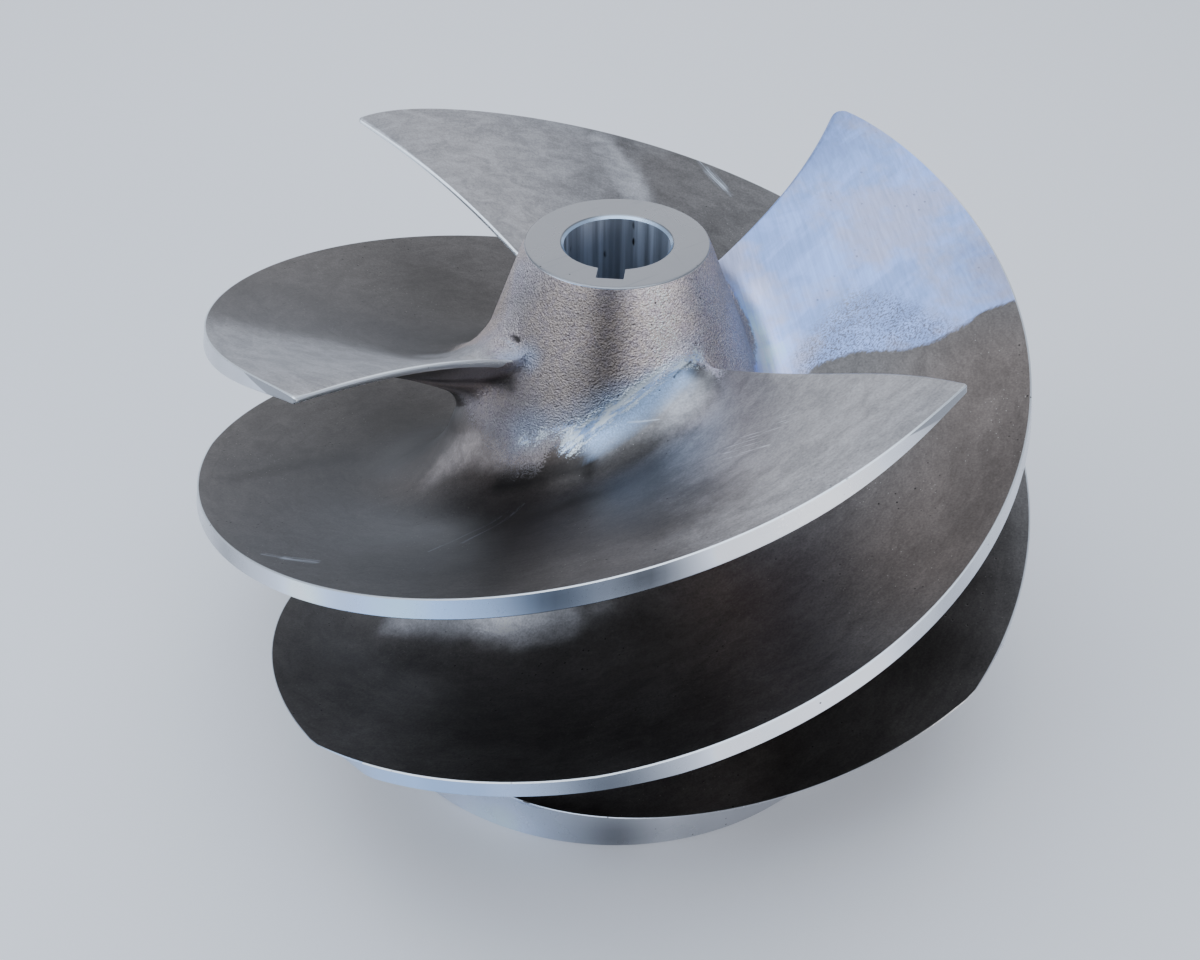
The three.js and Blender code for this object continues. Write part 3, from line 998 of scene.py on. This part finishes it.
# Darker satin, and painted shade under the blades near the hub
DARK_AND_SHADE_LINES = (
    (((-27, -35, 86), (-17.8, -38, 91.5), (-11.7, -39.2, 93.9), (-7, -40.5, 95.5)), 3.0, 0.8),
    (((-9.2, -41, 94), (0, -41.5, 98.6), (10.1, -40.5, 104.1), (17.9, -42.5, 108.1)), 1.6, 0.35),
    (((-21, -45, 87), (-38, -52, 80)), 6, 0.35),
    (((-25.5, -20.5, 105.3), (-30, -18, 104.5), (-37, -18.5, 105.5), (-44, -19, 105)), 2.6, 0.75),
    (((-43, -11, 98), (-36, -12, 97)), 3, 0.5),
    (((-99, -17, 73), (-84, 0, 66), (-70, 14, 57)), 3.0, 0.5),
    (((-69, 41, 50), (-68, 12, 57), (-60, -14, 66), (-52, -25, 71)), 2.2, 0.3),
    (((-88, -22, 78), (-82, -26, 79)), 1.6, 0.3),
)
WARM_LINES = (
    (((-20, -30, 95), (-34, -21, 86.5), (-50, -10, 68)), 12, 1),
    (((90, -20, 108), (84, -40, 98), (70, -60, 90)), 20, 0.8),
)
PITTED_LINES = ((((-69, 41, 50), (-68, 12, 57), (-59, -15, 66), (-48, -29, 73)), 5, 1),)
# Start, end, half width, softness and strength of thin pale lines, and of dark ones
PALE_LINES = (
    ((2.5, -34.6, 104.1), (9.5, -35.6, 105.8), 0.12, 0.35, 0.5),
    ((25.8, 95.7, 106.9), (35.2, 86, 101), 0.3, 0.9, 0.5),
    ((28.5, 93.2, 105.3), (33, 88.4, 102.5), 0.7, 1.4, 0.6),
    ((-78, -62, 88), (-72, -64.6, 88.7), 0.3, 0.8, 0.6),
    ((-73, -64.2, 88.6), (-65.6, -66.6, 89.5), 0.6, 0.9, 0.7),
    ((-30.5, -12.8, 110.9), (-23.5, -18.2, 114.6), 0.35, 0.4, 0.7),
    ((-21.5, -45, 87.3), (-34, -62, 91.5), 0.25, 0.5, 0.3),
    ((-25, -46, 86), (-41, -65, 91), 0.2, 0.4, 0.25),
)
CRACKS = (
    ((17, -25, 114.5), (13, -28.5, 112.3), 0.2, 0.2, 0.8),
    ((-30.3, -11.2, 110.6), (-22.9, -17.3, 115.3), 0.42, 0.2, 0.9),
    ((-58.3, -20.3, 68.8), (-57.4, -19.8, 68.8), 0.4, 0.3, 0.9),
)
# Directions round the hub, in degrees, where a painted reflection makes its skin brighter or darker,
# with their spread
PAINTED_SHEENS = ((-66, 19, 0.72), (-94, 13, -0.72), (-132, 24, -0.22), (-40, 12, -0.3), (8, 24, -0.35))
# Painted light and shade: places on the blades' faces and on the bright patch that are painted
# lighter or darker than the rest, and painted reflections on the turned edges, with their spread in
# millimetres
FACE_LIGHT_AND_SHADE = (
    ((-60, 48, 46), 35, -0.6),
    ((-72, -5, 65), 30, -0.3),
    ((-54, 66, 88), 22, -0.28),
    ((-36, -64, 92), 20, -0.45),
    ((16, 86, 105), 14, 0.5),
    ((20, -29, 112), 6, -0.45),
    ((-34, -20, 86), 12, 0.25),
    ((-33, -9, 108), 10, 0.3),
    ((-26, -50, 54), 14, 1.4),
    ((-54, -35, 42), 12, 0.9),
    ((5, -60, 65), 22, 1.4),
)
PATCH_LIGHT_AND_SHADE = (
    ((35.5, 4, 100), 7, 1.3),
    ((34.5, 15, 108), 5, 0.8),
    ((37, -5, 96), 6, 0.6),
    ((97, 14, 118), 16, -0.22),
)
BAND_REFLECTIONS = (
    ((-88.6, -56.2, 83.3), 10, -0.4),
    ((-67, -78.4, 91.5), 7, 0.5),
    ((-45, -91, 98.5), 20, 0.25),
    ((-13, -98.6, 109.3), 13, -0.85),
    ((6, -98.2, 115), 8.5, -0.75),
    ((21, -95, 119), 6, 0.5),
    ((40, -87.5, 124.5), 14, 0.8),
    ((66, -67, 134.5), 7, -0.8),
    ((-1, -107.8, 66), 15, -0.75),
    ((23.5, -104.4, 73.3), 6, 0.6),
    ((45, -95.5, 79.5), 16, 0.6),
    ((-29, -68, 3), 12, 0.6),
    ((1, -74, 5), 11, -0.65),
)
SCRATCHED_LINES = (
    (((25, -56.5, 114.8), (36, -56.5, 120)), 2.6),
    (((23.5, -60.5, 113.9), (33, -64, 119.5)), 1.8),
)
BRIGHT_OUTLINE = (
    (22, 22), (24.5, 17.5), (29.4, 13.8), (33.2, 10.4), (35.2, 4.6), (34.6, -6.8), (34.5, -16),
    (49.5, -16), (47.6, -3), (51.2, -1.2), (60.6, -0.9), (71.4, -3.9), (78.2, -3.7), (85.6, -0.9),
    (92.1, 2.3), (97, 2.5), (112, 4), (116, 60), (70, 96), (18, 34),
)
MOTTLED_OUTLINE = (
    (45.5, 2), (52, 9), (60, 15.5), (70, 12), (84.8, -1.5), (76, -4.6), (60, -2.5), (47, -6),
)
# Wrap angles over which each blade's dressed inlet end fades into its dull face
INLET_FADES = ((18, 50), (20, 52), (24, 70), (18, 50))
# Width in millimetres of the painted highlight along each blade's leading edge
NOSE_LIPS = (0.25, 1.4, 0.7, -9)
# The painted highlight along each blade's leading edge starts this far out from the hub, and ends at
# this wrap, and loses this share of its width outwards; the painted highlight along the turned edges
# is this wide
LIP_START = 4
LIP_WRAP = 25
LIP_TAPER = 0.7
RIM_LINE = 0.36
# The blade with the bright patch, how far under the blade's middle the patch may lie, its
# lowest height, and the radius where it starts, which falls past a direction
PATCH_BLADE = 3
PATCH_UNDER = -3 * MM
PATCH_FLOOR = 90
PATCH_START = 34
PATCH_TURN = 33
# The dressed strip that leans down the hub beside the patch: its directions in degrees, how far
# it leans for each millimetre below its top, its foot, and its reach out from the hub
STRIP_WAYS = (-16, 44)
STRIP_LEAN = 1.05
STRIP_TOP = 128.5
STRIP_FOOT = 92
STRIP_REACH = 7
# Height over which the hub's skin turns from ground to pebbled
PEBBLED = (84, 98)
# Direction and spread of the painted bluish reflection on one side of the turned edges, and the
# heights where it fades in
COOL_WAY, COOL_SPREAD = -112, 17
COOL_RISE = (20, 40)
# Radius where a blade is taken to start, how far its middle lies under its upper face, and the
# wrap past which a place counts as just ahead of the leading edge
BLADE_FOOT = 30 * MM
BLADE_MIDDLE = 2.5 * MM
AHEAD = 330
# How steeply a normal points up on the faces that are seen from above, on the bright patch and under
# the painted highlight along a turned edge
UPWARDS = (-0.1, 0.35)
PATCH_UP = 0.05
RIM_UP = 0.2
# Millimetres out from the hub over which a blade's upper and lower faces turn from cast to ground
GROUND_ABOVE = (1.5, 11)
GROUND_BELOW = (8, 30)
# The border of a painted line: its least softness, and how much more for each millimetre of width
LINE_SOFT, LINE_SOFTER = 0.4, 0.8
# The darkest and the lightest that painted light and shade make a colour
TONE_RANGE = (0.1, 3)
# Well outside a painted area, and the farthest that is kept, in millimetres
OUTSIDE = -9
FARTHEST = 50


def line_depth(places, points, width):
    """Millimetres inside a band of a half width along a line; negative outside."""
    least = np.full(len(places), np.inf)
    for start, end in zip(points, points[1:]):
        start, along = np.array(start, float), np.subtract(end, start)
        share = np.clip((places - start) @ along / (along @ along), 0, 1)
        nearest = start + share[:, None] * along
        least = np.minimum(least, np.linalg.norm(places - nearest, axis=1))
    return width - least


def outline_depth(places, outline):
    """Millimetres inside an outline seen from above; negative outside."""
    flat = places * (1, 1, 0)
    closed = [(x, y, 0) for x, y in (*outline, outline[0])]
    away = -line_depth(flat, closed, 0)
    inside = np.zeros(len(places), bool)
    for (x0, y0, _), (x1, y1, _) in zip(closed, closed[1:]):
        if y0 == y1:
            continue
        crosses = (y0 > flat[:, 1]) != (y1 > flat[:, 1])
        meets = x0 + (flat[:, 1] - y0) * (x1 - x0) / (y1 - y0)
        inside ^= crosses & (flat[:, 0] < meets)
    return np.where(inside, away, -away)


def nearest_blades(places, radius):
    """The nearest blade, the wrap on it, how dressed it is, its lip and the height over it."""
    _, blade = sizes()
    azimuth = np.degrees(np.arctan2(places[:, 1], places[:, 0]))
    share = np.clip((radius - BLADE_FOOT) / (blade.tip_radius - BLADE_FOOT), 0, 1)
    nearest = np.full(len(places), np.inf)
    found = np.zeros((5, len(places)))
    found[1] = blade.wrap_end
    for i in range(blade.count):
        wrap = (math.degrees(blade_azimuth(blade, i)) - azimuth) % 360
        wrap = np.where(wrap > AHEAD, 0, wrap)
        root = blade.root_height - blade.root_drop * wrap * MM
        edge = blade.tip_height - blade.edge_drop * wrap * MM + blade.tip_droop
        over = places[:, 2] - (root + (edge - root) * share - BLADE_MIDDLE)
        gap = np.where(wrap > blade.wrap_end, np.inf, np.abs(over))
        dressed = 1 - smooth(wrap, *INLET_FADES[i % len(INLET_FADES)])
        lip = NOSE_LIPS[i % len(NOSE_LIPS)] * (1 - LIP_TAPER * share)
        facts = np.stack(np.broadcast_arrays(i, wrap, dressed, lip, over))
        found = np.where(gap < nearest, facts, found)
        nearest = np.minimum(gap, nearest)
    return found


def deepest(places, lines):
    """Millimetres inside the nearest of the lines."""
    return np.max([line_depth(places, points, width) for points, width in lines], axis=0)


def strongest(places, lines):
    """The strength of the strongest line at each place, soft at its border."""
    shades = []
    for points, width, strength in lines:
        soft = LINE_SOFT + LINE_SOFTER * width
        shades.append(strength * smooth(line_depth(places, points, width), -soft, soft))
    return np.max(shades, axis=0)


def painted_light_spots(places, spots):
    """A factor for the colour at each place, painting light and shade, with every spot fading out
    round its middle.
    """
    total = np.ones(len(places))
    for center, spread, gain in spots:
        total += gain * bell(np.linalg.norm(places - center, axis=1), 0, spread)
    return np.clip(total, *TONE_RANGE)


def patch_depth(places, azimuth, up, which, above):
    """Millimetres inside the bright patch, on the upper side of its own blade."""
    inside = outline_depth(places, BRIGHT_OUTLINE)
    inside = np.minimum.reduce([inside, (up - PATCH_UP) * 8, places[:, 2] - PATCH_FLOOR])
    inside = np.where((which == PATCH_BLADE) & (above > PATCH_UNDER), inside, OUTSIDE)
    radius = np.hypot(places[:, 0], places[:, 1])
    return np.minimum(inside, radius - PATCH_START + 0.6 * np.clip(azimuth - PATCH_TURN, 0, 60))


def lip_depth(blade, radius, wraps, lips):
    """Millimetres inside the painted highlight along a leading edge, which trails at the root."""
    share = np.clip((radius - blade.lag_radius) / (blade.tip_radius - blade.lag_radius), 0, 1)
    trail = blade.root_lag * np.cos(share * math.pi / 2)
    return lips - (wraps - trail) * radius / MM * math.radians(1)


def hub_strip(azimuth, z, away):
    """How much the hub is dressed beside the bright patch."""
    first, last = STRIP_WAYS
    leaning = (azimuth - first + STRIP_LEAN * (STRIP_TOP - z)) * 0.5
    inside = [leaning, (last - azimuth) * 0.5, z - STRIP_FOOT, STRIP_REACH - away]
    return smooth(np.minimum.reduce(inside), -1.5, 1.5)


def paint_masks(piece):
    """Marks point by point where the casting is ground, dressed, scrubbed or dark."""
    hub, blade = sizes()
    mesh = piece.data
    places, up = rows(mesh.vertices, "co"), rows(mesh.vertices, "normal")[:, 2]
    radius = np.hypot(places[:, 0], places[:, 1])
    away = (radius - cone_radius(hub, places[:, 2])) / MM
    which, wraps, inlet, lips, above = nearest_blades(places, radius)
    lip = lip_depth(blade, radius, wraps, lips)
    lip = np.where((away > LIP_START) & (wraps < LIP_WRAP), lip, OUTSIDE)
    envelope = np.array([envelope_radius(hub, blade, z) for z in places[:, 2]])
    rim = np.where(up > RIM_UP, RIM_LINE - (envelope - radius) / MM, OUTSIDE)
    places = places / MM
    z = places[:, 2]
    azimuth = np.degrees(np.arctan2(places[:, 1], places[:, 0]))
    upper = smooth(up, *UPWARDS)
    patch = patch_depth(places, azimuth, up, which, above)
    strip = hub_strip(azimuth, z, away)
    ground = smooth(away, *GROUND_ABOVE) * upper + smooth(away, *GROUND_BELOW) * (1 - upper)
    ground = np.maximum(ground, smooth(deepest(places, GROUND_LINES), -2, 2))
    ground = np.maximum(ground, 1 - smooth(z, *PEBBLED))
    fresh = inlet * smooth(away, 0, 4) * upper
    # dressed lines, the lower ones painted light
    fresh = np.maximum(fresh, strongest(places, DRESSED_AND_LIT_LINES) * upper)
    fields = {
        "ground": ground * (1 - 0.8 * strip),
        "fresh": np.maximum(fresh, strip),
        # darker satin and painted shade under the blades
        "dark": strongest(places, DARK_AND_SHADE_LINES),
        # painted bluish reflection beside the streaks
        "haze": strongest(places, BLUE_REFLECTION_LINES),
        "pitted": strongest(places, PITTED_LINES),
        "warm": strongest(places, WARM_LINES),
        # painted reflections round the hub's skin
        "sheen": 1 + sum(gain * bell(azimuth, way, spread) for way, spread, gain in PAINTED_SHEENS),
        # painted light and shade on the blades' faces
        "tone": painted_light_spots(places, FACE_LIGHT_AND_SHADE),
        # painted highlight and shade on the bright patch
        "patch_tone": painted_light_spots(places, PATCH_LIGHT_AND_SHADE),
        # painted reflections along the turned edges and the rim
        "band": painted_light_spots(places, BAND_REFLECTIONS),
        # painted bluish reflection on the turned edges
        "cool": bell(azimuth, COOL_WAY, COOL_SPREAD) * (0.4 + 0.6 * smooth(z, *COOL_RISE)),
        "bright": patch,
        "streak": deepest(places, STREAK_LINES),
        # painted highlight along the leading edges and the turned edges
        "lip": np.maximum(lip, rim),
        "mottled": np.minimum(outline_depth(places, MOTTLED_OUTLINE), patch + 4),
        "scratched": deepest(places, SCRATCHED_LINES),
    }
    for name, values in fields.items():
        layer = mesh.attributes.new(name, "FLOAT", "POINT")
        values = np.clip(values, -FARTHEST, FARTHEST).astype(np.float32)
        layer.data.foreach_set("value", values)


def finish_casting(piece):
    colours = bpy.context.scene.impeller_finish
    piece.data.materials.clear()
    for make in (turned_steel, bore_steel, cast_steel):
        piece.data.materials.append(make(colours))
    sort_faces(piece)
    paint_masks(piece)
    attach(piece, "root")
    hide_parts(CASTING)


# Studio


def area_light(name, place, target, size, radiance, tint):
    """A rectangular soft light; its power follows from its radiance and size."""
    lamp = bpy.data.lights.new(name, "AREA")
    lamp.shape = "RECTANGLE"
    lamp.size, lamp.size_y = size
    lamp.energy = radiance * math.pi * size[0] * size[1]
    lamp.color = tint
    holder = bpy.data.objects.new(name, lamp)
    bpy.context.scene.collection.objects.link(holder)
    holder.location = place
    toward = Vector(target) - Vector(place)
    holder.rotation_euler = toward.to_track_quat("-Z", "Y").to_euler()
    return holder


def make_floor(studio):
    deselect_all()
    bpy.ops.mesh.primitive_plane_add(size=8, location=(0, 0, 0))
    floor = bpy.context.object
    floor.name = "floor"
    n = Nodes("plain_floor")
    tint = n.mix(n.noise(3, 2), shade(studio.floor, 0.985), studio.floor)
    floor.data.materials.append(n.finish(tint, 0.65, n.bump(n.noise(260, 2), 0.05, 0.05), 0.0))


def make_lights(studio):
    world = bpy.data.worlds.new("soft_sky")
    bpy.context.scene.world = world
    world.use_nodes = True
    background = world.node_tree.nodes["Background"]
    background.inputs["Color"].default_value = (*studio.sky, 1)
    background.inputs["Strength"].default_value = studio.sky_strength
    middle = (0, 0, 0.08)
    cool, warm = (0.80, 0.89, 1), (1, 0.95, 0.88)
    for name, place, size, radiance, tint in (
        ("top_light", (-0.1, 0, 1.2), (1.3, 1.3), studio.top_light, cool),
        ("back_light", (0, 1.35, 0.75), (2.2, 0.9), studio.back_light, (0.97, 0.98, 1)),
        ("left_light", (-1.1, -0.45, 0.6), (0.9, 1.0), studio.left_light, cool),
        ("right_light", (1.0, -0.95, 0.32), (0.5, 0.5), studio.right_light, warm),
    ):
        area_light(name, place, middle, size, radiance, tint)


def make_camera(studio):
    camera = bpy.data.objects.new("camera", bpy.data.cameras.new("camera"))
    bpy.context.scene.collection.objects.link(camera)
    camera.data.lens = studio.lens
    camera.data.sensor_width = 36
    camera.data.clip_start = 0.01
    heading = Matrix.Rotation(studio.camera_yaw, 4, "Z")
    tilt = Matrix.Rotation(math.pi / 2 - studio.camera_tilt, 4, "X")
    roll = Matrix.Rotation(studio.camera_roll, 4, "Z")
    camera.rotation_euler = (heading @ tilt @ roll).to_euler()
    camera.location = studio.camera_place
    bpy.context.scene.camera = camera


class IMPELLER_OT_hub(Operator):
    """Turn the hub with its bore, rim and cored recess"""

    bl_idname = "impeller.hub"
    bl_label = "Hub"

    def execute(self, context):
        make_hub()
        return {"FINISHED"}


class IMPELLER_OT_blades(Operator):
    """Add the helical blades to the hub and cut the keyway"""

    bl_idname = "impeller.blades"
    bl_label = "Blades"

    def execute(self, context):
        piece = bpy.data.objects[PIECE]
        cut_keyway(piece)
        join_blades(piece)
        return {"FINISHED"}


class IMPELLER_OT_finish(Operator):
    """Give the casting its cast, ground and turned finishes"""

    bl_idname = "impeller.finish"
    bl_label = "Finish"

    def execute(self, context):
        finish_casting(bpy.data.objects[PIECE])
        return {"FINISHED"}


class IMPELLER_OT_stage(Operator):
    """Set up the floor, the lights and the camera"""

    bl_idname = "impeller.stage"
    bl_label = "Stage"

    def execute(self, context):
        studio = context.scene.impeller_studio
        make_floor(studio)
        make_lights(studio)
        make_camera(studio)
        return {"FINISHED"}


class IMPELLER_PT_panel(Panel):
    bl_label = "Pump Impeller"
    bl_idname = "IMPELLER_PT_panel"
    bl_space_type = "VIEW_3D"
    bl_region_type = "UI"
    bl_category = "Impeller"

    def draw(self, context):
        layout = self.layout
        scene = context.scene
        for title, group in (
            ("Hub", scene.impeller_hub),
            ("Blades", scene.impeller_blade),
            ("Finish", scene.impeller_finish),
            ("Stage", scene.impeller_studio),
        ):
            box = layout.box()
            box.label(text=title)
            for name in group.bl_rna.properties.keys():
                if name not in ("rna_type", "name"):
                    box.prop(group, name)
            box.operator(f"impeller.{title.lower()}")


GROUPS = {
    "impeller_hub": HubSizes,
    "impeller_blade": BladeSizes,
    "impeller_finish": FinishColours,
    "impeller_studio": StudioSettings,
}
CLASSES = (
    *GROUPS.values(),
    IMPELLER_OT_hub,
    IMPELLER_OT_blades,
    IMPELLER_OT_finish,
    IMPELLER_OT_stage,
    IMPELLER_PT_panel,
)


def register():
    for cls in CLASSES:
        bpy.utils.register_class(cls)
    for name, group in GROUPS.items():
        setattr(bpy.types.Scene, name, PointerProperty(type=group))


def unregister():
    for name in GROUPS:
        delattr(bpy.types.Scene, name)
    for cls in reversed(CLASSES):
        bpy.utils.unregister_class(cls)


def main():
    register()
    bpy.ops.impeller.hub()
    bpy.ops.impeller.blades()
    bpy.ops.impeller.finish()
    bpy.ops.impeller.stage()


if __name__ == "__main__":
    main()
